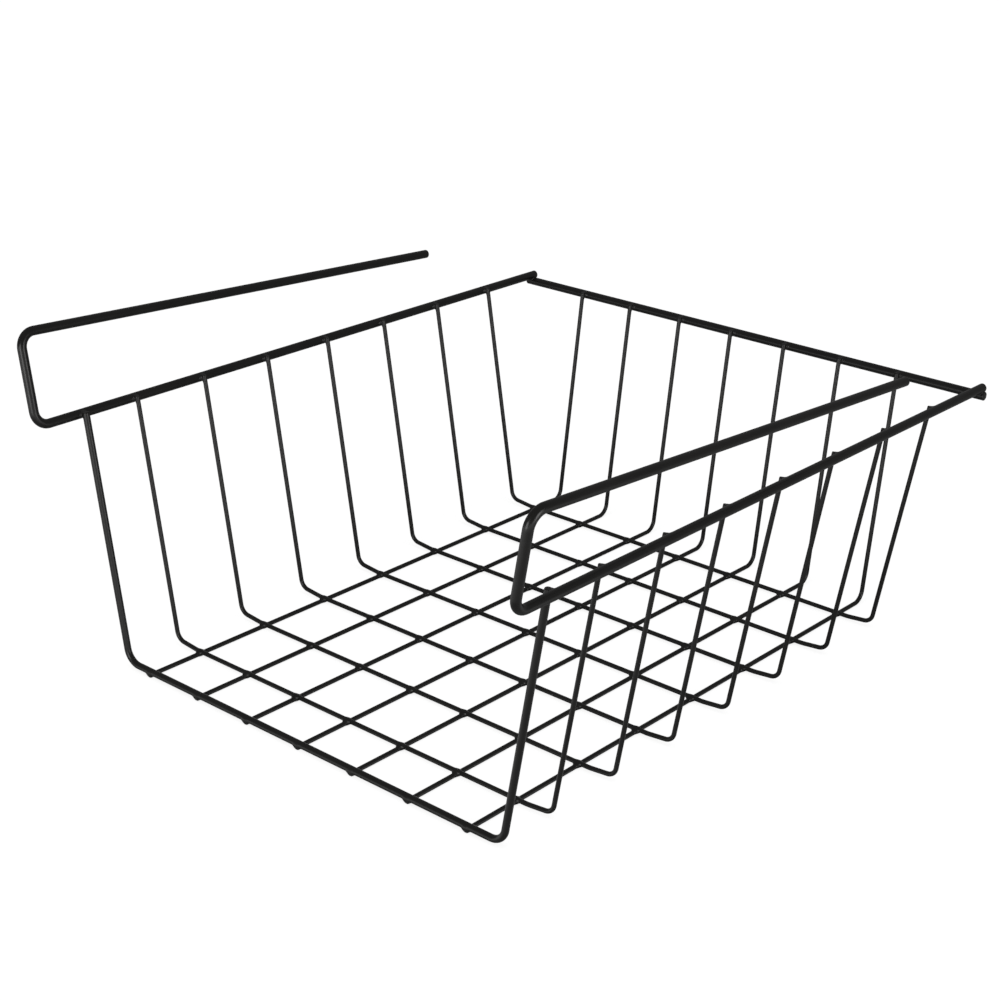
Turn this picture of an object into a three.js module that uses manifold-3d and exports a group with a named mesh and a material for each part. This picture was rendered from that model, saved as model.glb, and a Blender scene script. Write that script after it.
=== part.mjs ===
// A wire basket that hangs under a shelf, bent and welded from eighteen steel wires.
//
// Two side rails end in hooks that reach back over the shelf board. A back rail lies under
// their rear ends. A strong front wire and seven thinner cross wires hang between the rails
// as wide U shapes, and seven L-shaped floor wires run under them from the front edge to
// the rear and rise to the back rail. Where wires cross, the weld has sunk one into the other.
//
// Sizes are in millimetres. +Z is up, the open front faces -Y, and the basket stands on its
// floor wires at Z = 0, with the middle of its overall box on the Z axis.

import Module from 'manifold-3d';
import * as THREE from 'three';
import { mergeVertices } from 'three/addons/utils/BufferGeometryUtils.js';

// Wire stock
const railDiameter = 5;
const frontWireDiameter = 3.8;
const basketWireDiameter = 2.5;

// Side rails and back rail
const railSpacing = 325; // between the axes of the two side rails
const railLength = 393; // from the hook's upright to the rear end, flush with the back rail
const railHeight = 138.5; // of the side rails' axes above the surface the basket stands on
const backRailOverhang = 0.5; // how far the back rail reaches past each side rail

// Hooks
const hookRise = 48.5; // from the side rail's axis to the arm's axis, at the front
const hookFlare = 8.5; // how far the arm lies outside its side rail
const leftArmLength = 299.5; // from the hook's upright to the arm's free end
const rightArmLength = 292; // the same on the right, where the rod is cut a little shorter
const armDropShare = 0.06; // of its length, by which an arm has come down to grip the shelf
const hookBendRadius = 8; // on the wire's axis, as are all the bend radii

// Basket
const floorWidth = 270; // between the corners of a cross wire, on its axis
const frontSetback = 28; // from the hooks' uprights to the front wire
const firstFloorGap = 34.5; // from the front wire to the first cross wire
const lastFloorGap = 26; // from the last cross wire to the foot of the back wall
const backWallSlant = 21.7; // how far the back wall's foot lies in front of the back rail
const sideFloorGap = 20.5; // from the outermost floor wires to the corners, before their shift
const floorWireShift = 2.4; // of the whole row of floor wires to the left of the middle
const floorWireReach = 1; // how far the floor wires run on past the front wire's axis
const wireTopRise = 2; // of the wires' cut tops above the axis of the rail they are welded to
const frontBendRadius = 9;
const crossBendRadius = 6; // tighter, after a slight sweep up off the floor
const sweepRise = 1.5; // how far the sweep has come up at the corner
const sweepLengthShare = 0.85; // of the narrower side gap, over which the sweep comes up
const sweepBendRadius = 40;
const floorBendRadius = 7;
const crossWireCount = 7;
const floorWireCount = 7;

// Welds and cut ends
const weldClearance = 0.3; // left between the faces of two wires that are welded together
const crossWeldSinkShare = 0.5; // of a floor wire's diameter, sunk where a cross wire lies on it
const railWeldSinkShare = 0.25; // of the back rail's diameter, sunk where a side rail lies on it
const cutEndChamferShare = 0.3; // of a wire's radius, off the edge of its cut ends

// Fineness of the round forms
const railSides = 12;
const basketWireSides = 8;
const bendSteps = 8;

// Heights and places that follow from the sizes above
const railRadius = railDiameter / 2;
const frontWireRadius = frontWireDiameter / 2;
const basketWireRadius = basketWireDiameter / 2;
const crossWireUnderside = basketWireDiameter * (1 - crossWeldSinkShare);
const railHalfSpacing = railSpacing / 2;
const floorHalfWidth = floorWidth / 2;
const backRailY = railLength - railRadius;
const backRailHeight = railHeight - railDiameter * (1 - railWeldSinkShare);
const backWallFootY = backRailY - backWallSlant;
const firstCrossWireY = frontSetback + firstFloorGap;
const lastCrossWireY = backWallFootY - lastFloorGap;
const outerFloorWireX = floorHalfWidth - sideFloorGap;
const sweepLength = (sideFloorGap - floorWireShift) * sweepLengthShare;

const powderCoat = { color: 0x1c1b1a, roughness: 0.45, metalness: 0.1 };

const manifold = await Module();
manifold.setup();

// The line that a wire's axis follows, given as stations in order. Each station has a point,
// a tangent and a girth: the share of the full section that the wire has there.
// One flat of the section always faces the given side, so that flats meet at the welds.
class WirePath extends THREE.Curve {
  constructor(stations, side) {
    super();
    this.stations = stations;
    this.side = side;
  }

  stationAt(t) {
    return this.stations[Math.round(t * (this.stations.length - 1))];
  }

  getUtoTmapping(u) {
    return u;
  }

  getPoint(t, target = new THREE.Vector3()) {
    return target.copy(this.stationAt(t).point);
  }

  getTangent(t, target = new THREE.Vector3()) {
    return target.copy(this.stationAt(t).tangent);
  }

  computeFrenetFrames() {
    const frames = { tangents: [], normals: [], binormals: [] };
    for (const { tangent, girth } of this.stations) {
      const binormal = this.side.clone().projectOnPlane(tangent).normalize();
      const normal = new THREE.Vector3().crossVectors(binormal, tangent);
      frames.tangents.push(tangent);
      frames.normals.push(normal.multiplyScalar(girth));
      frames.binormals.push(binormal.multiplyScalar(girth));
    }
    return frames;
  }
}

// A corner or an end of a wire's axis, with the radius that the wire is bent to there.
function cornerAt(x, y, z, bendRadius = 0) {
  return { point: new THREE.Vector3(x, y, z), bendRadius };
}

// Stations round one bend, which turns a wire from its heading before a corner to the
// heading after it, on an arc that touches both straights.
function bendStations({ point: corner, bendRadius }, before, after) {
  const turn = before.angleTo(after);
  const setback = bendRadius * Math.tan(turn / 2);
  const inward = after.clone().projectOnPlane(before).normalize();
  const centre = corner
    .clone()
    .addScaledVector(before, -setback)
    .addScaledVector(inward, bendRadius);
  const stations = [];
  for (let step = 0; step <= bendSteps; step += 1) {
    const angle = (turn * step) / bendSteps;
    const point = centre
      .clone()
      .addScaledVector(inward, -bendRadius * Math.cos(angle))
      .addScaledVector(before, bendRadius * Math.sin(angle));
    const tangent = before
      .clone()
      .multiplyScalar(Math.cos(angle))
      .addScaledVector(inward, Math.sin(angle));
    stations.push({ point, tangent, girth: 1 });
  }
  return stations;
}

// A regular polygon round the wire's outline. Its flats are as far apart as the wire is
// thick, and face along both axes of the section.
function wireSection(radius, sides) {
  const cornerRadius = radius / Math.cos(Math.PI / sides);
  const points = [];
  for (let index = 0; index < sides; index += 1) {
    const angle = ((index + 1 / 2) * 2 * Math.PI) / sides;
    points.push(new THREE.Vector2(cornerRadius * Math.cos(angle), cornerRadius * Math.sin(angle)));
  }
  return new THREE.Shape(points);
}

// A wire bent at each inner corner, with the edges of its two cut ends chamfered.
function wireGeometry(corners, { radius, side, sides }) {
  const headings = corners
    .slice(1)
    .map(({ point }, index) => point.clone().sub(corners[index].point).normalize());
  const chamfer = cutEndChamferShare * radius;
  const cutGirth = 1 - cutEndChamferShare;
  const first = corners[0].point;
  const last = corners[corners.length - 1].point;
  const setOff = headings[0];
  const arrival = headings[headings.length - 1];

  const stations = [
    { point: first, tangent: setOff, girth: cutGirth },
    { point: first.clone().addScaledVector(setOff, chamfer), tangent: setOff, girth: 1 },
  ];
  for (let index = 1; index < corners.length - 1; index += 1) {
    stations.push(...bendStations(corners[index], headings[index - 1], headings[index]));
  }
  stations.push(
    { point: last.clone().addScaledVector(arrival, -chamfer), tangent: arrival, girth: 1 },
    { point: last, tangent: arrival, girth: cutGirth },
  );

  return new THREE.ExtrudeGeometry(wireSection(radius, sides), {
    extrudePath: new WirePath(stations, side),
    steps: stations.length - 1,
  });
}

function solidOf(geometry) {
  const bare = new THREE.BufferGeometry();
  bare.setAttribute('position', geometry.getAttribute('position'));
  const merged = mergeVertices(bare);
  return new manifold.Manifold(
    new manifold.Mesh({
      numProp: 3,
      vertProperties: merged.getAttribute('position').array,
      triVerts: merged.getIndex().array,
    }),
  );
}

// The same wire with a saddle cut into it for each straight wire that the weld has sunk into
// it. The saddle is that wire's own section, wider by the clearance.
function withSaddles(geometry, crossings) {
  let solid = solidOf(geometry);
  for (const { start, end, radius, side, sides } of crossings) {
    const outline = { radius: radius + weldClearance, side, sides };
    solid = solid.subtract(solidOf(wireGeometry([start, end], outline)));
  }
  const { vertProperties, triVerts } = solid.getMesh();
  const saddled = new THREE.BufferGeometry();
  saddled.setAttribute('position', new THREE.BufferAttribute(vertProperties, 3));
  saddled.setIndex(new THREE.BufferAttribute(triVerts, 1));
  return saddled;
}

function wireMesh(name, geometry) {
  const mesh = new THREE.Mesh(geometry, new THREE.MeshStandardMaterial(powderCoat));
  mesh.name = name;
  return mesh;
}

// How far across a wall wire has come at a height, when it rises from its foot and leans
// against a rail, with the clearance between them. All places are measured outwards, from
// the basket's inside to the rail.
function leaningWirePlace(foot, rail, radius, height) {
  const across = rail.place - foot.place;
  const up = rail.height - foot.height;
  const axesApart = railRadius + weldClearance + radius;
  const lean = Math.atan2(across, up) - Math.asin(axesApart / Math.hypot(across, up));
  return foot.place + (height - foot.height) * Math.tan(lean);
}

// The straight stretch of a side rail, which the back rail's saddles follow too.
function sideRailStretch(hand) {
  return {
    start: cornerAt(hand * railHalfSpacing, railLength, railHeight),
    end: cornerAt(hand * railHalfSpacing, 0, railHeight, hookBendRadius),
    radius: railRadius,
    side: new THREE.Vector3(1, 0, 0),
    sides: railSides,
  };
}

// Side rail, upright and arm are one rod. It starts at the rear end of the side rail, runs
// forward, turns up and outward at the front, and comes back over the shelf.
function hookRail(name, hand, armLength) {
  const { start, end, ...outline } = sideRailStretch(hand);
  const armX = hand * (railHalfSpacing + hookFlare);
  const armHeight = railHeight + hookRise;
  const corners = [
    start,
    end,
    cornerAt(armX, 0, armHeight, hookBendRadius),
    cornerAt(armX, armLength, armHeight - armLength * armDropShare),
  ];
  return wireMesh(name, wireGeometry(corners, outline));
}

// The back rail lies under the rear ends of both side rails.
function backRail() {
  const halfLength = railHalfSpacing + railRadius + backRailOverhang;
  const ends = [
    cornerAt(-halfLength, backRailY, backRailHeight),
    cornerAt(halfLength, backRailY, backRailHeight),
  ];
  const rod = wireGeometry(ends, {
    radius: railRadius,
    side: new THREE.Vector3(0, 1, 0),
    sides: railSides,
  });
  return wireMesh('back_rail', withSaddles(rod, [sideRailStretch(-1), sideRailStretch(1)]));
}

// The foot of a U shape's wall, where its corner would be if it weren't bent round. All the
// U shapes share the same outer faces, whatever their wire.
function wallFoot({ radius, isSwept }) {
  const floorHeight = crossWireUnderside + radius;
  return {
    place: floorHalfWidth + basketWireRadius - radius,
    height: isSwept ? floorHeight + sweepRise : floorHeight,
    floorHeight,
  };
}

// The stretch of a cross wire that lies on the floor wires.
function crossFloorStretch(wire) {
  const { place, floorHeight } = wallFoot(wire);
  return {
    start: cornerAt(-place, wire.placeY, floorHeight),
    end: cornerAt(place, wire.placeY, floorHeight),
    radius: wire.radius,
    side: new THREE.Vector3(0, 1, 0),
    sides: wire.sides,
  };
}

// The corners of one wall of a cross wire, from the floor up.
function wallCorners(wire, hand) {
  const foot = wallFoot(wire);
  const rail = { place: railHalfSpacing, height: railHeight };
  const topHeight = railHeight + wireTopRise;
  const topPlace = leaningWirePlace(foot, rail, wire.radius, topHeight);
  const corners = [
    cornerAt(hand * foot.place, wire.placeY, foot.height, wire.bendRadius),
    cornerAt(hand * topPlace, wire.placeY, topHeight),
  ];
  if (wire.isSwept) {
    const sweepStart = hand * (foot.place - sweepLength);
    corners.unshift(cornerAt(sweepStart, wire.placeY, foot.floorHeight, sweepBendRadius));
  }
  return corners;
}

// A U-shaped wire lies across the floor wires, and its walls lean out against the inner
// sides of the side rails.
function crossWire(wire) {
  const { start, end, ...outline } = crossFloorStretch(wire);
  const corners = [...wallCorners(wire, -1).reverse(), ...wallCorners(wire, 1)];
  return wireMesh(wire.name, wireGeometry(corners, outline));
}

// An L-shaped wire runs under the cross wires and rises against the front of the back rail.
function floorWire(name, placeX, crossings) {
  const foot = { place: backWallFootY, height: basketWireRadius };
  const rail = { place: backRailY, height: backRailHeight };
  const topHeight = backRailHeight + wireTopRise;
  const corners = [
    cornerAt(placeX, frontSetback - floorWireReach, foot.height),
    cornerAt(placeX, foot.place, foot.height, floorBendRadius),
    cornerAt(placeX, leaningWirePlace(foot, rail, basketWireRadius, topHeight), topHeight),
  ];
  const bentWire = wireGeometry(corners, {
    radius: basketWireRadius,
    side: new THREE.Vector3(1, 0, 0),
    sides: basketWireSides,
  });
  return wireMesh(name, withSaddles(bentWire, crossings));
}

// Evenly spaced places from the first to the last, with both of them.
function spreadPlaces(first, last, count) {
  const pitch = (last - first) / (count - 1);
  return Array.from({ length: count }, (_, index) => first + index * pitch);
}

const crossWires = [
  {
    name: 'front_cross_wire',
    placeY: frontSetback,
    radius: frontWireRadius,
    bendRadius: frontBendRadius,
    isSwept: false,
    sides: railSides,
  },
  ...spreadPlaces(firstCrossWireY, lastCrossWireY, crossWireCount).map((placeY, index) => ({
    name: `cross_wire_${index + 1}`,
    placeY,
    radius: basketWireRadius,
    bendRadius: crossBendRadius,
    isSwept: true,
    sides: basketWireSides,
  })),
];
const crossFloorStretches = crossWires.map(crossFloorStretch);

// The pieces are placed from the hooks' uprights, at Y = 0.
const pieces = new THREE.Group();
pieces.add(hookRail('left_hook_rail', -1, leftArmLength));
pieces.add(hookRail('right_hook_rail', 1, rightArmLength));
pieces.add(backRail());
pieces.add(...crossWires.map(crossWire));
spreadPlaces(-outerFloorWireX, outerFloorWireX, floorWireCount).forEach((place, index) => {
  const name = `floor_wire_${index + 1}`;
  pieces.add(floorWire(name, place - floorWireShift, crossFloorStretches));
});

// The overall box runs from the front of the hooks to the side rails' rear ends, and its
// middle goes to Y = 0.
pieces.position.y = -(railLength - railRadius) / 2;

const basket = new THREE.Group();
basket.name = 'under_shelf_basket';
basket.add(pieces);

export default basket;
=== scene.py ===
"""A wire basket that hangs under a shelf: round wires, weld beads, powder coat and a plain stage.

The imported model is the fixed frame. Each of its eighteen faceted wires is replaced by a round
one on the same axis, and the welds that join the wires are added. Lengths are in metres.
"""

import math

import bmesh
import bpy
import numpy as np
from bpy.props import FloatProperty, FloatVectorProperty, IntProperty, PointerProperty
from mathutils import Matrix, Quaternion, Vector, noise


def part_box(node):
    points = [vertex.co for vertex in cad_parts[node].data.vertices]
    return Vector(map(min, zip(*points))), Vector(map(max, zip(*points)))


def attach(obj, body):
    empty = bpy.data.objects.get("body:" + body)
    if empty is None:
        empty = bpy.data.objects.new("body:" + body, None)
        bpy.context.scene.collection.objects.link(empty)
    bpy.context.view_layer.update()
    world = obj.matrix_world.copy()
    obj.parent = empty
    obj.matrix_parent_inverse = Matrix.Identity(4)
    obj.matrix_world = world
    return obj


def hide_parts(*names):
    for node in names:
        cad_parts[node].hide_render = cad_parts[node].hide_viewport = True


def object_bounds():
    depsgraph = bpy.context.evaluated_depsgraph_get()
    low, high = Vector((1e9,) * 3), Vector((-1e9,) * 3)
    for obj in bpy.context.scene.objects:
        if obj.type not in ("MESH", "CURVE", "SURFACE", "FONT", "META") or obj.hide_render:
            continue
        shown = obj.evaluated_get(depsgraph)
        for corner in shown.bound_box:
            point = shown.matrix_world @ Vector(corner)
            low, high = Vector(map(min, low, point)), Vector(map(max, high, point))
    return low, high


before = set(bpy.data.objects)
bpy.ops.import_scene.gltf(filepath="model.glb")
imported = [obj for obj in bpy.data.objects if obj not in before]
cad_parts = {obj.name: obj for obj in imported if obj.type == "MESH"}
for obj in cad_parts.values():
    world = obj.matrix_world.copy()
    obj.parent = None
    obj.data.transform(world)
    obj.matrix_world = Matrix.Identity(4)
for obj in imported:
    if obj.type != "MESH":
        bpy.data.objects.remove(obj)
cad_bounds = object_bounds()

bl_info = {
    "name": "Under-shelf wire basket",
    "version": (1, 0, 0),
    "blender": (4, 5, 0),
    "location": "3D Viewport > Sidebar > Basket",
    "description": "Bends, welds and coats the wires of a basket that hangs under a shelf",
    "category": "Object",
}

X, Y, Z = range(3)
MM = 0.001
HANDS = {"left": -1, "right": 1}
WIRE_NUMBERS = range(1, 8)
FRONT_WIRE = "front_cross_wire"
CROSS_WIRES = [FRONT_WIRE] + [f"cross_wire_{number}" for number in WIRE_NUMBERS]
FLOOR_WIRES = [f"floor_wire_{number}" for number in WIRE_NUMBERS]


# Places that come from the frame

def middle(node, axis):
    low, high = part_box(node)
    return (low[axis] + high[axis]) / 2


def wire_radius(node, axis):
    """Half of a wire's thickness, measured along an axis that the whole wire lies across."""
    low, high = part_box(node)
    return (high[axis] - low[axis]) / 2


RAIL_RADIUS = wire_radius("back_rail", Z)
FLOOR_WIRE_RADIUS = wire_radius(FLOOR_WIRES[0], X)
LEFT_RAIL_LOW, LEFT_RAIL_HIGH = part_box("left_hook_rail")
RAIL_PLACE = abs(LEFT_RAIL_HIGH[X]) + RAIL_RADIUS
ARM_PLACE = abs(LEFT_RAIL_LOW[X]) - RAIL_RADIUS
RAIL_HEIGHT = LEFT_RAIL_LOW[Z] + RAIL_RADIUS
UPRIGHT_PLACE = LEFT_RAIL_LOW[Y] + RAIL_RADIUS
RAIL_REAR_END = LEFT_RAIL_HIGH[Y]
BACK_RAIL_PLACE = middle("back_rail", Y)
BACK_RAIL_HEIGHT = middle("back_rail", Z)


# Sizes and colours that a user may change

class BasketSizes(bpy.types.PropertyGroup):
    hook_rise: FloatProperty(
        name="Hook rise",
        description="From the side rail's axis to the arm's axis, at the front",
        default=48.5 * MM,
        unit="LENGTH",
    )
    left_arm_length: FloatProperty(
        name="Left arm length",
        description="From the left hook's upright to the arm's free end",
        default=299.5 * MM,
        unit="LENGTH",
    )
    right_arm_length: FloatProperty(
        name="Right arm length",
        description="From the right hook's upright to the arm's free end",
        default=292 * MM,
        unit="LENGTH",
    )
    arm_drop_share: FloatProperty(
        name="Arm drop share",
        description="Share of its length by which an arm has come down, to grip the shelf",
        default=0.06,
        subtype="FACTOR",
    )
    hook_bend: FloatProperty(
        name="Hook bend",
        description="Radius of the bends in the hooked side rails, on the axis",
        default=8 * MM,
        unit="LENGTH",
    )
    floor_width: FloatProperty(
        name="Floor width",
        description="Between the corners of a thin cross wire, on its axis",
        default=270 * MM,
        unit="LENGTH",
    )
    back_wall_slant: FloatProperty(
        name="Back wall slant",
        description="How far the back wall's foot lies in front of the back rail",
        default=21.7 * MM,
        unit="LENGTH",
    )
    front_bend: FloatProperty(
        name="Front wire bend",
        description="Radius of the bends in the front wire, on the axis",
        default=9 * MM,
        unit="LENGTH",
    )
    cross_bend: FloatProperty(
        name="Cross wire bend",
        description="Radius of the bends in the thin cross wires, on the axis",
        default=6 * MM,
        unit="LENGTH",
    )
    sweep_rise: FloatProperty(
        name="Sweep rise",
        description="How far a thin cross wire has swept up off the floor at its corner",
        default=1.5 * MM,
        unit="LENGTH",
    )
    sweep_length: FloatProperty(
        name="Sweep length",
        description="How long that sweep is before the corner",
        default=15.4 * MM,
        unit="LENGTH",
    )
    sweep_bend: FloatProperty(
        name="Sweep bend",
        description="Radius of the gentle bend that starts the sweep, on the axis",
        default=40 * MM,
        unit="LENGTH",
    )
    floor_bend: FloatProperty(
        name="Floor wire bend",
        description="Radius of the bend in the floor wires, on the axis",
        default=7 * MM,
        unit="LENGTH",
    )
    top_rise: FloatProperty(
        name="Wire top rise",
        description="Height of the wires' cut tops above the axis of the rail they lean on",
        default=2 * MM,
        unit="LENGTH",
    )
    right_top_rise: FloatProperty(
        name="Right wire top rise",
        description="The same at the right rail, where welding has pressed the tops lower",
        default=1.1 * MM,
        unit="LENGTH",
    )
    weld_gap: FloatProperty(
        name="Weld gap",
        description="Between a rail and the wire that leans on it, which the weld fills",
        default=0.3 * MM,
        unit="LENGTH",
    )
    end_round: FloatProperty(
        name="End rounding",
        description="Radius that the coat leaves on the rim of a cut end",
        default=0.35 * MM,
        unit="LENGTH",
    )
    top_round: FloatProperty(
        name="Top rounding",
        description="Radius on the rim of a wire's top, which welding has softened",
        default=0.6 * MM,
        unit="LENGTH",
    )
    rail_sides: IntProperty(
        name="Rail sides",
        description="Faces round a side rail or the back rail",
        default=32,
        min=8,
    )
    wire_sides: IntProperty(
        name="Wire sides",
        description="Faces round a thin wire",
        default=24,
        min=8,
    )
    bend_steps: IntProperty(
        name="Bend steps",
        description="Faces along a bend",
        default=18,
        min=4,
    )
    floor_throat: FloatProperty(
        name="Floor weld throat",
        description="Size of the fillet in the corners where two thin wires cross",
        default=2.2 * MM,
        unit="LENGTH",
    )
    top_throat: FloatProperty(
        name="Top weld throat",
        description="Size of the fillet where a wire's top meets a rail",
        default=1.9 * MM,
        unit="LENGTH",
    )
    rail_throat: FloatProperty(
        name="Rail weld throat",
        description="Size of the fillet where a side rail lies on the back rail",
        default=0.35 * MM,
        unit="LENGTH",
    )


class BasketLooks(bpy.types.PropertyGroup):
    coat_colour: FloatVectorProperty(
        name="Coat",
        description="Colour of the powder coat",
        default=(0.0062, 0.0059, 0.0055),
        subtype="COLOR",
        min=0,
        max=1,
    )
    dull_colour: FloatVectorProperty(
        name="Dull coat",
        description="Colour of the coat where handling has dulled it",
        default=(0.0095, 0.009, 0.0084),
        subtype="COLOR",
        min=0,
        max=1,
    )
    floor_colour: FloatVectorProperty(
        name="Floor",
        description="Colour of the floor",
        default=(0.3, 0.3, 0.3),
        subtype="COLOR",
        min=0,
        max=1,
    )


# Wires

SHADING_EDGE = 1 * MM
RIM_STEPS = 4
ROUND_PROFILE = 0.5
SAME_MATERIAL = -1


def facing(point, heading):
    """The placing that turns a flat disc at the origin to face along a heading at a point."""
    return Matrix.Translation(point) @ heading.to_track_quat("Z", "Y").to_matrix().to_4x4()


def rim_among(parts):
    """The open rim of a wire and its corners, among the parts that an operator has made."""
    edges = [part for part in parts if isinstance(part, bmesh.types.BMEdge) and part.is_boundary]
    return edges, [part for part in parts if isinstance(part, bmesh.types.BMVert)]


def draw_straight(mesh, rim, way):
    """Draws a wire on from its open rim along a straight, and returns the new rim with its
    corners. A short ring of faces at either end keeps the bends' shading off the straight."""
    edge = way.normalized() * SHADING_EDGE
    for step in (edge, way - edge * 2, edge):
        rim, corners = rim_among(bmesh.ops.extrude_edge_only(mesh, edges=rim)["geom"])
        bmesh.ops.translate(mesh, vec=step, verts=corners)
    return rim, corners


def draw_bend(mesh, rim, corners, centre, axis, turn, steps):
    """Draws a wire on from its open rim round a bend, and returns the new rim."""
    spun = bmesh.ops.spin(
        mesh,
        geom=[*rim, *corners],
        cent=centre,
        axis=axis,
        dvec=(0, 0, 0),
        angle=turn,
        steps=steps,
        use_merge=False,
        use_duplicate=False,
    )
    return rim_among(spun["geom_last"])[0]


def bent_wire(corners, radius, bends, end_rounds, sides, sizes):
    """A round wire whose axis runs from corner to corner, bent at each inner one to its own
    radius, with the rim of each cut end rounded to its own radius."""
    headings = [(after - before).normalized() for before, after in zip(corners, corners[1:])]
    mesh = bmesh.new()
    bmesh.ops.create_circle(
        mesh, segments=sides, radius=radius, matrix=facing(corners[0], headings[0])
    )
    first_rim = rim = list(mesh.edges)
    place = corners[0]
    for corner, bend, before, after in zip(corners[1:], bends, headings, headings[1:]):
        turn = before.angle(after)
        setback = bend * math.tan(turn / 2)
        bend_start = corner - before * setback
        inward = (after - before * after.dot(before)).normalized()
        rim, rim_corners = draw_straight(mesh, rim, bend_start - place)
        rim = draw_bend(
            mesh,
            rim,
            rim_corners,
            centre=bend_start + inward * bend,
            axis=before.cross(after).normalized(),
            turn=turn,
            steps=sizes.bend_steps,
        )
        place = corner + after * setback
    last_rim = draw_straight(mesh, rim, corners[-1] - place)[0]
    for cut_rim, end_round in zip((first_rim, last_rim), end_rounds):
        bmesh.ops.edgeloop_fill(mesh, edges=cut_rim)
        bmesh.ops.bevel(
            mesh,
            geom=cut_rim,
            affect="EDGES",
            offset=end_round,
            offset_type="OFFSET",
            segments=RIM_STEPS,
            profile=ROUND_PROFILE,
            material=SAME_MATERIAL,
        )
    bmesh.ops.recalc_face_normals(mesh, faces=mesh.faces)
    for face in mesh.faces:
        face.smooth = True
    return mesh


def placed_mesh(name, mesh, material):
    """An object in the scene, made of a finished mesh and one material."""
    data = bpy.data.meshes.new(name)
    mesh.to_mesh(data)
    mesh.free()
    data.materials.append(material)
    placed = bpy.data.objects.new(name, data)
    bpy.context.scene.collection.objects.link(placed)
    return placed


def finish_piece(name, mesh, material, replaced=()):
    """Makes a mesh a piece of the basket that rides on its body and takes the coat's slot. No
    point of it stands outside the CAD model's box."""
    low, high = cad_bounds
    for vert in mesh.verts:
        vert.co = [min(max(place, low[axis]), high[axis]) for axis, place in enumerate(vert.co)]
    piece = placed_mesh(name, mesh, material)
    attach(piece, "root")
    if replaced:
        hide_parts(*replaced)
    return piece


def leaning_place(foot, rail, clear_distance, height):
    """How far outwards a wall wire has come at a height, when it rises from its foot and leans
    on a rail. Foot and rail are given as (outwards, upwards)."""
    across = rail[0] - foot[0]
    up = rail[1] - foot[1]
    lean = math.atan2(across, up) - math.asin(clear_distance / math.hypot(across, up))
    return foot[0] + (height - foot[1]) * math.tan(lean)


def hook_rail_corners(hand, sizes):
    """The corners of a side rail, from its rear end to the free end of its arm."""
    arm_height = RAIL_HEIGHT + sizes.hook_rise
    arm_length = sizes.left_arm_length if hand < 0 else sizes.right_arm_length
    arm_drop = arm_length * sizes.arm_drop_share
    return [
        Vector((hand * RAIL_PLACE, RAIL_REAR_END, RAIL_HEIGHT)),
        Vector((hand * RAIL_PLACE, UPRIGHT_PLACE, RAIL_HEIGHT)),
        Vector((hand * ARM_PLACE, UPRIGHT_PLACE, arm_height)),
        Vector((hand * ARM_PLACE, UPRIGHT_PLACE + arm_length, arm_height - arm_drop)),
    ]


def back_rail_ends():
    low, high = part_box("back_rail")
    return [
        Vector((low[X], BACK_RAIL_PLACE, BACK_RAIL_HEIGHT)),
        Vector((high[X], BACK_RAIL_PLACE, BACK_RAIL_HEIGHT)),
    ]


def cross_wire_half(node, hand, sizes):
    """The corners of one half of a cross wire, from the floor to its top. The thin wires sweep
    up off the floor before they turn into the wall."""
    radius = wire_radius(node, Y)
    floor_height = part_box(node)[0][Z] + radius
    foot_place = sizes.floor_width / 2 + FLOOR_WIRE_RADIUS - radius
    if node == FRONT_WIRE:
        sweep = []
        foot_height = floor_height
    else:
        sweep = [(foot_place - sizes.sweep_length, floor_height)]
        foot_height = floor_height + sizes.sweep_rise
    top_rise = sizes.top_rise if hand < 0 else sizes.right_top_rise
    top_height = RAIL_HEIGHT + top_rise
    top_place = leaning_place(
        (foot_place, foot_height),
        (RAIL_PLACE, RAIL_HEIGHT),
        RAIL_RADIUS + sizes.weld_gap + radius,
        top_height,
    )
    profile = [*sweep, (foot_place, foot_height), (top_place, top_height)]
    return [Vector((hand * place, middle(node, Y), height)) for place, height in profile]


def cross_wire_corners(node, sizes):
    left_half = cross_wire_half(node, HANDS["left"], sizes)
    return [*reversed(left_half), *cross_wire_half(node, HANDS["right"], sizes)]


def floor_wire_corners(node, sizes):
    """The corners of a floor wire, from its front end to its top at the back rail."""
    place_x = middle(node, X)
    foot_place = BACK_RAIL_PLACE - sizes.back_wall_slant
    top_height = BACK_RAIL_HEIGHT + sizes.top_rise
    top_place = leaning_place(
        (foot_place, FLOOR_WIRE_RADIUS),
        (BACK_RAIL_PLACE, BACK_RAIL_HEIGHT),
        RAIL_RADIUS + sizes.weld_gap + FLOOR_WIRE_RADIUS,
        top_height,
    )
    return [
        Vector((place_x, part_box(node)[0][Y], FLOOR_WIRE_RADIUS)),
        Vector((place_x, foot_place, FLOOR_WIRE_RADIUS)),
        Vector((place_x, top_place, top_height)),
    ]


# Welds

BEAD_FINENESS = 4
BEAD_COAT = 0.04 * MM
BEAD_LUMP = 0.12 * MM
BEAD_LUMP_LENGTH = 1.1 * MM
BEAD_FADE_SHARE = 0.6
COARSE_STEPS = 12
FINE_STEPS = 6


class Stretch:
    """A straight stretch of wire that a weld holds. Where the wire is cut near the weld, the
    point is its cut end and the heading leads out of it."""

    def __init__(self, point, heading, radius, is_cut=False):
        self.point = np.array(point)
        self.heading = np.array(heading.normalized())
        self.radius = radius
        self.is_cut = is_cut

    def distance(self, points):
        """How far points lie outside the wire's surface, below zero inside it."""
        offsets = points - self.point
        along = offsets @ self.heading
        across = np.linalg.norm(offsets - np.outer(along, self.heading), axis=1) - self.radius
        if not self.is_cut:
            return across
        outside = np.hypot(np.maximum(across, 0), np.maximum(along, 0))
        return outside + np.minimum(np.maximum(across, along), 0)


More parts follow.
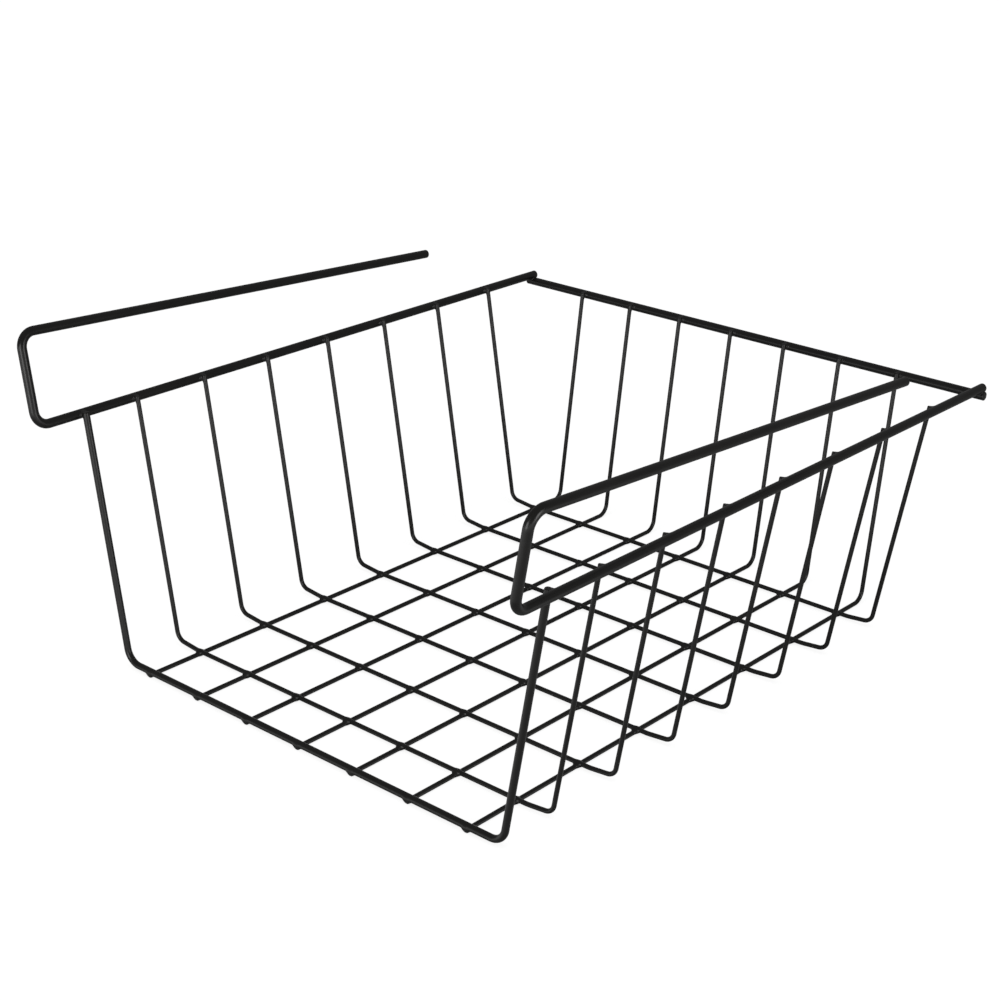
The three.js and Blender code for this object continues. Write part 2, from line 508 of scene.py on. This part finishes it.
def filleted(first, second, throat):
    """The distance to the nearer of two surfaces, with a round fillet in the corner between
    them, as a weld leaves it."""
    inside_first = np.maximum(throat - first, 0)
    inside_second = np.maximum(throat - second, 0)
    return np.maximum(np.minimum(first, second), throat) - np.hypot(inside_first, inside_second)


def add_bead(mesh, centre, stretches, throat):
    """Adds a weld bead: a ball whose points are moved out to the filleted surface of the two
    wires that it joins, and sink into the wires where the bead ends."""
    ball = bmesh.ops.create_icosphere(mesh, subdivisions=BEAD_FINENESS, radius=1)["verts"]
    rays = np.array([vert.co.normalized() for vert in ball])
    origin = np.array(centre)
    radii = [stretch.radius for stretch in stretches]
    reach = sum(radii) + throat
    fade_start = reach * BEAD_FADE_SHARE
    lumps = [noise.noise((centre + vert.co * reach) / BEAD_LUMP_LENGTH) for vert in ball]
    bulge = np.maximum(lumps, 0) * BEAD_LUMP

    def is_outside(out):
        points = origin + rays * out[:, np.newaxis]
        first, second = (stretch.distance(points) for stretch in stretches)
        fading = np.maximum(out - fade_start, 0) / (reach - fade_start)
        in_corner = np.clip(1 - np.maximum(first, second) / throat, 0, 1)
        skin = (BEAD_COAT + bulge) * in_corner
        return filleted(first, second, throat) - skin + max(radii) * fading * fading > 0

    inner = np.zeros(len(rays))
    is_inside = np.ones(len(rays), bool)
    for distance in np.linspace(0, reach, COARSE_STEPS + 1)[1:]:
        is_inside &= ~is_outside(np.full(len(rays), distance))
        inner[is_inside] = distance
    outer = inner + reach / COARSE_STEPS
    for _ in range(FINE_STEPS):
        halfway = (inner + outer) / 2
        passed = is_outside(halfway)
        outer = np.where(passed, halfway, outer)
        inner = np.where(passed, inner, halfway)

    for vert, point in zip(ball, origin + rays * inner[:, np.newaxis]):
        vert.co = point
        for face in vert.link_faces:
            face.smooth = True


def across_gap(first, second):
    """The middle of the gap between the surfaces of two stretches, where they come closest."""
    normal = np.cross(first.heading, second.heading)
    offset = second.point - first.point
    along_first = np.dot(np.cross(offset, second.heading), normal) / np.dot(normal, normal)
    along_second = np.dot(np.cross(offset, first.heading), normal) / np.dot(normal, normal)
    nearest_first = first.point + first.heading * along_first
    nearest_second = second.point + second.heading * along_second
    gap = np.linalg.norm(nearest_second - nearest_first)
    share = (first.radius + (gap - first.radius - second.radius) / 2) / gap
    return Vector(nearest_first + (nearest_second - nearest_first) * share)


# Finish

COAT_GLOSS = 0.5
RIPPLE_DETAIL = 1
GRAIN_DETAIL = 2
PATCH_DETAIL = 5
DULL_START = 0.4
DULL_END = 0.75


def new_group(name, inputs, outputs):
    """An empty node group with its named inputs, each with a socket type and a value, and its
    named outputs."""
    group = bpy.data.node_groups.new(name, "ShaderNodeTree")
    for label, kind, value in inputs:
        socket = group.interface.new_socket(name=label, in_out="INPUT", socket_type=kind)
        if value is not None:
            socket.default_value = value
    for label, kind in outputs:
        group.interface.new_socket(name=label, in_out="OUTPUT", socket_type=kind)
    group.nodes.new("NodeGroupInput")
    group.nodes.new("NodeGroupOutput")
    return group


def math_node(tree, operation, *values):
    """A Math node whose inputs are numbers or other nodes' sockets; returns its result."""
    node = tree.nodes.new("ShaderNodeMath")
    node.operation = operation
    for index, value in enumerate(values):
        if isinstance(value, bpy.types.NodeSocket):
            tree.links.new(value, node.inputs[index])
        else:
            node.inputs[index].default_value = value
    return node.outputs[0]


def noise_node(tree, coordinates, length, detail):
    """A noise whose lumps are about a length across; returns its value."""
    node = tree.nodes.new("ShaderNodeTexNoise")
    node.inputs["Detail"].default_value = detail
    tree.links.new(coordinates, node.inputs["Vector"])
    tree.links.new(math_node(tree, "DIVIDE", 1, length), node.inputs["Scale"])
    return node.outputs["Fac"]


def ramp_node(tree, value, start, end):
    """A value's share of the way from a start to an end, kept between 0 and 1."""
    node = tree.nodes.new("ShaderNodeMapRange")
    node.inputs["From Min"].default_value = start
    node.inputs["From Max"].default_value = end
    tree.links.new(value, node.inputs["Value"])
    return node.outputs["Result"]


def coat_relief_group():
    """The fine ripple and grain that powder leaves when it melts and sets."""
    group = new_group(
        "coat_relief",
        [
            ("Vector", "NodeSocketVector", None),
            ("Ripple Length", "NodeSocketFloat", 1.6 * MM),
            ("Grain Length", "NodeSocketFloat", 0.35 * MM),
            ("Grain Share", "NodeSocketFloat", 0.35),
        ],
        [("Height", "NodeSocketFloat")],
    )
    inputs = group.nodes["Group Input"].outputs
    ripple = noise_node(group, inputs["Vector"], inputs["Ripple Length"], RIPPLE_DETAIL)
    grain = noise_node(group, inputs["Vector"], inputs["Grain Length"], GRAIN_DETAIL)
    height = math_node(group, "MULTIPLY_ADD", grain, inputs["Grain Share"], ripple)
    group.links.new(height, group.nodes["Group Output"].inputs["Height"])
    return group


def handling_group():
    """Patches that handling has dulled: a colour that drifts to the dull one, and a roughness
    that drifts with it."""
    group = new_group(
        "handling",
        [
            ("Vector", "NodeSocketVector", None),
            ("Colour", "NodeSocketColor", None),
            ("Dull Colour", "NodeSocketColor", None),
            ("Patch Length", "NodeSocketFloat", 24 * MM),
            ("Smooth Roughness", "NodeSocketFloat", 0.3),
            ("Dull Roughness", "NodeSocketFloat", 0.42),
        ],
        [("Colour", "NodeSocketColor"), ("Roughness", "NodeSocketFloat")],
    )
    inputs = group.nodes["Group Input"].outputs
    outputs = group.nodes["Group Output"].inputs
    patches = noise_node(group, inputs["Vector"], inputs["Patch Length"], PATCH_DETAIL)
    dullness = ramp_node(group, patches, DULL_START, DULL_END)

    colour = group.nodes.new("ShaderNodeMix")
    colour.data_type = "RGBA"
    group.links.new(dullness, colour.inputs["Factor"])
    group.links.new(inputs["Colour"], colour.inputs["A"])
    group.links.new(inputs["Dull Colour"], colour.inputs["B"])
    group.links.new(colour.outputs["Result"], outputs["Colour"])

    roughness = group.nodes.new("ShaderNodeMix")
    group.links.new(dullness, roughness.inputs["Factor"])
    group.links.new(inputs["Smooth Roughness"], roughness.inputs["A"])
    group.links.new(inputs["Dull Roughness"], roughness.inputs["B"])
    group.links.new(roughness.outputs["Result"], outputs["Roughness"])
    return group


def shared_group(name, builder):
    return bpy.data.node_groups.get(name) or builder()


def placed_group(tree, group, vector):
    node = tree.nodes.new("ShaderNodeGroup")
    node.node_tree = group
    tree.links.new(vector, node.inputs["Vector"])
    return node


def coat_material(name, ripple_length, relief, smooth_roughness, dull_roughness):
    """Satin black powder coat. The relief is the height of its ripple."""
    made = bpy.data.materials.get(name)
    if made:
        return made
    looks = bpy.context.scene.basket_looks
    material = bpy.data.materials.new(name)
    material.use_nodes = True
    tree = material.node_tree
    shader = tree.nodes["Principled BSDF"]
    shader.inputs["Specular IOR Level"].default_value = COAT_GLOSS
    coordinates = tree.nodes.new("ShaderNodeTexCoord").outputs["Object"]

    handling = placed_group(tree, shared_group("handling", handling_group), coordinates)
    handling.inputs["Colour"].default_value = (*looks.coat_colour, 1)
    handling.inputs["Dull Colour"].default_value = (*looks.dull_colour, 1)
    handling.inputs["Smooth Roughness"].default_value = smooth_roughness
    handling.inputs["Dull Roughness"].default_value = dull_roughness
    tree.links.new(handling.outputs["Colour"], shader.inputs["Base Color"])
    tree.links.new(handling.outputs["Roughness"], shader.inputs["Roughness"])

    coat = placed_group(tree, shared_group("coat_relief", coat_relief_group), coordinates)
    coat.inputs["Ripple Length"].default_value = ripple_length
    bump = tree.nodes.new("ShaderNodeBump")
    bump.inputs["Distance"].default_value = relief
    bump.inputs["Strength"].default_value = 1
    tree.links.new(coat.outputs["Height"], bump.inputs["Height"])
    tree.links.new(bump.outputs["Normal"], shader.inputs["Normal"])
    return material


def rail_coat():
    return coat_material(
        "coat_on_rails",
        ripple_length=2.2 * MM,
        relief=0.016 * MM,
        smooth_roughness=0.27,
        dull_roughness=0.33,
    )


def wire_coat():
    return coat_material(
        "coat_on_wires",
        ripple_length=1.4 * MM,
        relief=0.012 * MM,
        smooth_roughness=0.28,
        dull_roughness=0.34,
    )


def weld_coat():
    return coat_material(
        "coat_on_welds",
        ripple_length=0.9 * MM,
        relief=0.03 * MM,
        smooth_roughness=0.3,
        dull_roughness=0.46,
    )


# Operators that make the pieces

class BASKET_OT_bend_hook_rails(bpy.types.Operator):
    """Bend the two side rails, whose front ends rise and reach back as the hooks"""

    bl_idname = "basket.bend_hook_rails"
    bl_label = "Bend Hook Rails"

    def execute(self, context):
        sizes = context.scene.basket_sizes
        for side, hand in HANDS.items():
            corners = hook_rail_corners(hand, sizes)
            bends = [sizes.hook_bend, sizes.hook_bend]
            ends = [sizes.end_round, sizes.end_round]
            rod = bent_wire(corners, RAIL_RADIUS, bends, ends, sizes.rail_sides, sizes)
            finish_piece(f"{side}_hook_rod", rod, rail_coat(), [f"{side}_hook_rail"])
        return {"FINISHED"}


class BASKET_OT_cut_back_rail(bpy.types.Operator):
    """Cut the straight back rail that joins the rear ends of the side rails"""

    bl_idname = "basket.cut_back_rail"
    bl_label = "Cut Back Rail"

    def execute(self, context):
        sizes = context.scene.basket_sizes
        ends = [sizes.end_round, sizes.end_round]
        rod = bent_wire(back_rail_ends(), RAIL_RADIUS, [], ends, sizes.rail_sides, sizes)
        finish_piece("back_rod", rod, rail_coat(), ["back_rail"])
        return {"FINISHED"}


class BASKET_OT_bend_cross_wires(bpy.types.Operator):
    """Bend the front wire and the seven thinner cross wires into wide U shapes"""

    bl_idname = "basket.bend_cross_wires"
    bl_label = "Bend Cross Wires"

    def execute(self, context):
        sizes = context.scene.basket_sizes
        for node in CROSS_WIRES:
            bends = [sizes.cross_bend, sizes.sweep_bend, sizes.sweep_bend, sizes.cross_bend]
            if node == FRONT_WIRE:
                bends = [sizes.front_bend, sizes.front_bend]
            corners = cross_wire_corners(node, sizes)
            tops = [sizes.top_round, sizes.top_round]
            wire = bent_wire(
                corners, wire_radius(node, Y), bends, tops, sizes.wire_sides, sizes
            )
            finish_piece(f"{node}_round", wire, wire_coat(), [node])
        return {"FINISHED"}


class BASKET_OT_bend_floor_wires(bpy.types.Operator):
    """Bend the seven floor wires, which rise at the rear to the back rail"""

    bl_idname = "basket.bend_floor_wires"
    bl_label = "Bend Floor Wires"

    def execute(self, context):
        sizes = context.scene.basket_sizes
        for node in FLOOR_WIRES:
            corners = floor_wire_corners(node, sizes)
            bends = [sizes.floor_bend]
            ends = [sizes.end_round, sizes.top_round]
            wire = bent_wire(corners, FLOOR_WIRE_RADIUS, bends, ends, sizes.wire_sides, sizes)
            finish_piece(f"{node}_round", wire, wire_coat(), [node])
        return {"FINISHED"}


def cross_stretch(node, sizes):
    """A cross wire's straight middle, which lies on the floor wires."""
    left = cross_wire_half(node, HANDS["left"], sizes)[0]
    right = cross_wire_half(node, HANDS["right"], sizes)[0]
    return Stretch(left, right - left, wire_radius(node, Y))


def floor_stretch(node, sizes):
    """A floor wire's lower stretch, cut at the front."""
    corners = floor_wire_corners(node, sizes)
    return Stretch(corners[0], corners[0] - corners[1], FLOOR_WIRE_RADIUS, is_cut=True)


def top_stretch(corners, radius):
    """The stretch of a wall wire that ends at its cut top."""
    return Stretch(corners[-1], corners[-1] - corners[-2], radius, is_cut=True)


class BASKET_OT_weld_floor(bpy.types.Operator):
    """Weld the floor wires to each cross wire that lies on them"""

    bl_idname = "basket.weld_floor"
    bl_label = "Weld Floor"

    def execute(self, context):
        sizes = context.scene.basket_sizes
        for cross_node in CROSS_WIRES:
            over = cross_stretch(cross_node, sizes)
            beads = bmesh.new()
            for floor_node in FLOOR_WIRES:
                under = floor_stretch(floor_node, sizes)
                centre = across_gap(under, over)
                add_bead(beads, centre, (under, over), sizes.floor_throat)
            finish_piece(f"{cross_node}_floor_welds", beads, weld_coat())
        return {"FINISHED"}


class BASKET_OT_weld_tops(bpy.types.Operator):
    """Weld the tops of the cross wires to the side rails and those of the floor wires to the
    back rail"""

    bl_idname = "basket.weld_tops"
    bl_label = "Weld Wire Tops"

    def execute(self, context):
        sizes = context.scene.basket_sizes
        for side, hand in HANDS.items():
            rail_start, rail_end = hook_rail_corners(hand, sizes)[:2]
            rail = Stretch(rail_start, rail_end - rail_start, RAIL_RADIUS)
            beads = bmesh.new()
            for node in CROSS_WIRES:
                corners = cross_wire_half(node, hand, sizes)
                self.weld_top(beads, top_stretch(corners, wire_radius(node, Y)), rail, sizes)
            finish_piece(f"{side}_rail_top_welds", beads, weld_coat())

        rail_start, rail_end = back_rail_ends()
        rail = Stretch(rail_start, rail_end - rail_start, RAIL_RADIUS)
        beads = bmesh.new()
        for node in FLOOR_WIRES:
            top = top_stretch(floor_wire_corners(node, sizes), FLOOR_WIRE_RADIUS)
            self.weld_top(beads, top, rail, sizes)
        finish_piece("back_rail_top_welds", beads, weld_coat())
        return {"FINISHED"}

    def weld_top(self, beads, top, rail, sizes):
        add_bead(beads, across_gap(top, rail), (top, rail), sizes.top_throat)


class BASKET_OT_weld_rails(bpy.types.Operator):
    """Weld the rear ends of the side rails to the back rail that lies under them"""

    bl_idname = "basket.weld_rails"
    bl_label = "Weld Rails"

    def execute(self, context):
        sizes = context.scene.basket_sizes
        back_start, back_end = back_rail_ends()
        beads = bmesh.new()
        for hand in HANDS.values():
            tail, front = hook_rail_corners(hand, sizes)[:2]
            over = Stretch(tail, tail - front, RAIL_RADIUS, is_cut=True)
            outer_end = back_end if hand > 0 else back_start
            under = Stretch(outer_end, Vector((hand, 0, 0)), RAIL_RADIUS, is_cut=True)
            centre = across_gap(under, over)
            add_bead(beads, centre, (under, over), sizes.rail_throat)
        finish_piece("rail_joint_welds", beads, weld_coat())
        return {"FINISHED"}


# Stage

CAMERA_PLACE = Vector((0.6496, -0.7605, 0.4979))
CAMERA_AZIMUTH = 41.21
CAMERA_ELEVATION = 22.45
CAMERA_ROLL = 0.75
CAMERA_LENS = 71.8
CAMERA_SENSOR_WIDTH = 36
FLOOR_REACH = 6
FLOOR_LIFT = 0.84
# Strength of the painted sheen: a glow on the floor, seen only in gloss, in place of its
# reflection of the lamps
FLOOR_PAINTED_SHEEN = 0.78
# The floor's painted sheen, a glow that only gloss sees, starts and is full at these distances
# along its azimuth and at these slants, where a view from straight above has a slant of 0 and
# one along the floor has a slant of 1
PAINTED_SHEEN_AZIMUTH = 25
PAINTED_SHEEN_PLACES = (-0.05, 0.2)
PAINTED_SHEEN_SLANTS = (0.3, 0.85)
WORLD_LIGHT = 0.35
WORLD_GLOSS = 0.17


def direction(azimuth, elevation):
    """The way from the basket to a place round it. Azimuth 0 is the front and 90 the right."""
    turn = math.radians(azimuth)
    rise = math.radians(elevation)
    return Vector(
        (math.sin(turn) * math.cos(rise), -math.cos(turn) * math.cos(rise), math.sin(rise))
    )


def floor_material(colour):
    """White to the camera, and a plain grey floor to everything else. In gloss it glows with a
    painted sheen towards the front and where it is seen at a slant, in place of a sweep's
    reflection of the lamps. It isn't seen from below, so that the basket's underside can be
    looked at."""
    material = bpy.data.materials.new("stage_floor")
    material.use_nodes = True
    tree = material.node_tree
    shader = tree.nodes["Principled BSDF"]
    shader.inputs["Base Color"].default_value = (*colour, 1)
    shader.inputs["Roughness"].default_value = 1
    shader.inputs["Specular IOR Level"].default_value = 0
    shader.inputs["Emission Color"].default_value = (1, 1, 1, 1)
    rays = tree.nodes.new("ShaderNodeLightPath").outputs
    coordinates = tree.nodes.new("ShaderNodeTexCoord").outputs["Object"]
    distance = tree.nodes.new("ShaderNodeVectorMath")
    distance.operation = "DOT_PRODUCT"
    distance.inputs[1].default_value = direction(PAINTED_SHEEN_AZIMUTH, 0)
    tree.links.new(coordinates, distance.inputs[0])
    slant = tree.nodes.new("ShaderNodeLayerWeight").outputs["Facing"]
    in_front = ramp_node(tree, distance.outputs["Value"], *PAINTED_SHEEN_PLACES)
    at_slant = ramp_node(tree, slant, *PAINTED_SHEEN_SLANTS)
    # Painted sheen: emission that only glossy rays see, brighter towards the front and at a slant
    painted_sheen_mask = math_node(tree, "MULTIPLY", in_front, at_slant)
    painted_sheen = math_node(tree, "MULTIPLY", painted_sheen_mask, FLOOR_PAINTED_SHEEN)
    painted_sheen_in_gloss = math_node(tree, "MULTIPLY", rays["Is Glossy Ray"], painted_sheen)
    # Emission: an even white for the camera, plus the painted sheen in gloss
    white_and_painted_sheen = math_node(tree, "MULTIPLY_ADD", rays["Is Camera Ray"], FLOOR_LIFT, painted_sheen_in_gloss)
    tree.links.new(white_and_painted_sheen, shader.inputs["Emission Strength"])

    clear = tree.nodes.new("ShaderNodeBsdfTransparent")
    sides = tree.nodes.new("ShaderNodeMixShader")
    backfacing = tree.nodes.new("ShaderNodeNewGeometry").outputs["Backfacing"]
    tree.links.new(backfacing, sides.inputs["Fac"])
    tree.links.new(shader.outputs["BSDF"], sides.inputs[1])
    tree.links.new(clear.outputs["BSDF"], sides.inputs[2])
    tree.links.new(sides.outputs["Shader"], tree.nodes["Material Output"].inputs["Surface"])
    return material


def add_lamp(name, lamp, place, towards):
    """A lamp at a place, which shines back along the way that leads towards it."""
    holder = bpy.data.objects.new(name, lamp)
    holder.location = place
    holder.rotation_mode = "QUATERNION"
    holder.rotation_quaternion = towards.to_track_quat("Z", "Y")
    bpy.context.scene.collection.objects.link(holder)
    return holder


def add_soft_box(name, azimuth, distance, width, height, power):
    """A soft box that stands on the floor and faces the basket."""
    lamp = bpy.data.lights.new(name, "AREA")
    lamp.shape = "RECTANGLE"
    lamp.size = width
    lamp.size_y = height
    lamp.energy = power
    towards = direction(azimuth, 0)
    add_lamp(name, lamp, towards * distance + Vector((0, 0, height / 2)), towards)


def add_fill(name, azimuth, elevation, strength, softness):
    """A broad distant lamp that leaves no glint."""
    lamp = bpy.data.lights.new(name, "SUN")
    lamp.energy = strength
    lamp.angle = math.radians(softness)
    towards = direction(azimuth, elevation)
    add_lamp(name, lamp, towards, towards).visible_glossy = False


class BASKET_OT_set_stage(bpy.types.Operator):
    """Lay a plain floor and set the lamps, the world and the camera"""

    bl_idname = "basket.set_stage"
    bl_label = "Set Stage"

    def execute(self, context):
        self.lay_floor(context.scene.basket_looks)
        self.light_world(context.scene)
        add_soft_box("front_box", azimuth=4, distance=1.1, width=0.5, height=0.5, power=2.6)
        add_soft_box("right_box", azimuth=88, distance=1.1, width=0.4, height=0.5, power=2.2)
        add_fill("fill", azimuth=30, elevation=65, strength=0.8, softness=50)
        self.set_camera(context.scene)
        context.scene.view_settings.view_transform = "Standard"
        return {"FINISHED"}

    def lay_floor(self, looks):
        mesh = bmesh.new()
        bmesh.ops.create_grid(mesh, x_segments=1, y_segments=1, size=FLOOR_REACH)
        floor = placed_mesh("floor", mesh, floor_material(looks.floor_colour))

    def light_world(self, scene):
        """White to the camera, a plain grey light to the rest, and darker still in gloss."""
        world = bpy.data.worlds.new("studio")
        world.use_nodes = True
        tree = world.node_tree
        light = tree.nodes["Background"]
        light.inputs["Color"].default_value = (1, 1, 1, 1)
        rays = tree.nodes.new("ShaderNodeLightPath").outputs
        gloss = math_node(
            tree, "MULTIPLY_ADD", rays["Is Glossy Ray"], WORLD_GLOSS - WORLD_LIGHT, WORLD_LIGHT
        )
        strength = math_node(tree, "MAXIMUM", rays["Is Camera Ray"], gloss)
        tree.links.new(strength, light.inputs["Strength"])
        scene.world = world

    def set_camera(self, scene):
        data = bpy.data.cameras.new("photo_camera")
        data.lens = CAMERA_LENS
        data.sensor_width = CAMERA_SENSOR_WIDTH
        camera = bpy.data.objects.new("photo_camera", data)
        camera.location = CAMERA_PLACE
        camera.rotation_mode = "QUATERNION"
        view = -direction(CAMERA_AZIMUTH, CAMERA_ELEVATION)
        roll = Quaternion((0, 0, 1), math.radians(CAMERA_ROLL))
        camera.rotation_quaternion = view.to_track_quat("-Z", "Y") @ roll
        scene.collection.objects.link(camera)
        scene.camera = camera


class BASKET_PT_panel(bpy.types.Panel):
    bl_label = "Under-shelf Basket"
    bl_idname = "BASKET_PT_panel"
    bl_space_type = "VIEW_3D"
    bl_region_type = "UI"
    bl_category = "Basket"

    def draw(self, context):
        layout = self.layout
        for group in (context.scene.basket_sizes, context.scene.basket_looks):
            column = layout.column(align=True)
            for name in group.__annotations__:
                column.prop(group, name)
        column = layout.column()
        for operator in OPERATORS:
            column.operator(operator.bl_idname)


OPERATORS = (
    BASKET_OT_bend_hook_rails,
    BASKET_OT_cut_back_rail,
    BASKET_OT_bend_cross_wires,
    BASKET_OT_bend_floor_wires,
    BASKET_OT_weld_floor,
    BASKET_OT_weld_tops,
    BASKET_OT_weld_rails,
    BASKET_OT_set_stage,
)
CLASSES = (BasketSizes, BasketLooks, *OPERATORS, BASKET_PT_panel)


def register():
    for made_class in CLASSES:
        bpy.utils.register_class(made_class)
    bpy.types.Scene.basket_sizes = PointerProperty(type=BasketSizes)
    bpy.types.Scene.basket_looks = PointerProperty(type=BasketLooks)


def unregister():
    del bpy.types.Scene.basket_looks
    del bpy.types.Scene.basket_sizes
    for made_class in reversed(CLASSES):
        bpy.utils.unregister_class(made_class)


def main():
    register()
    bpy.ops.basket.bend_hook_rails()
    bpy.ops.basket.cut_back_rail()
    bpy.ops.basket.bend_cross_wires()
    bpy.ops.basket.bend_floor_wires()
    bpy.ops.basket.weld_floor()
    bpy.ops.basket.weld_tops()
    bpy.ops.basket.weld_rails()
    bpy.ops.basket.set_stage()


if __name__ == "__main__":
    main()
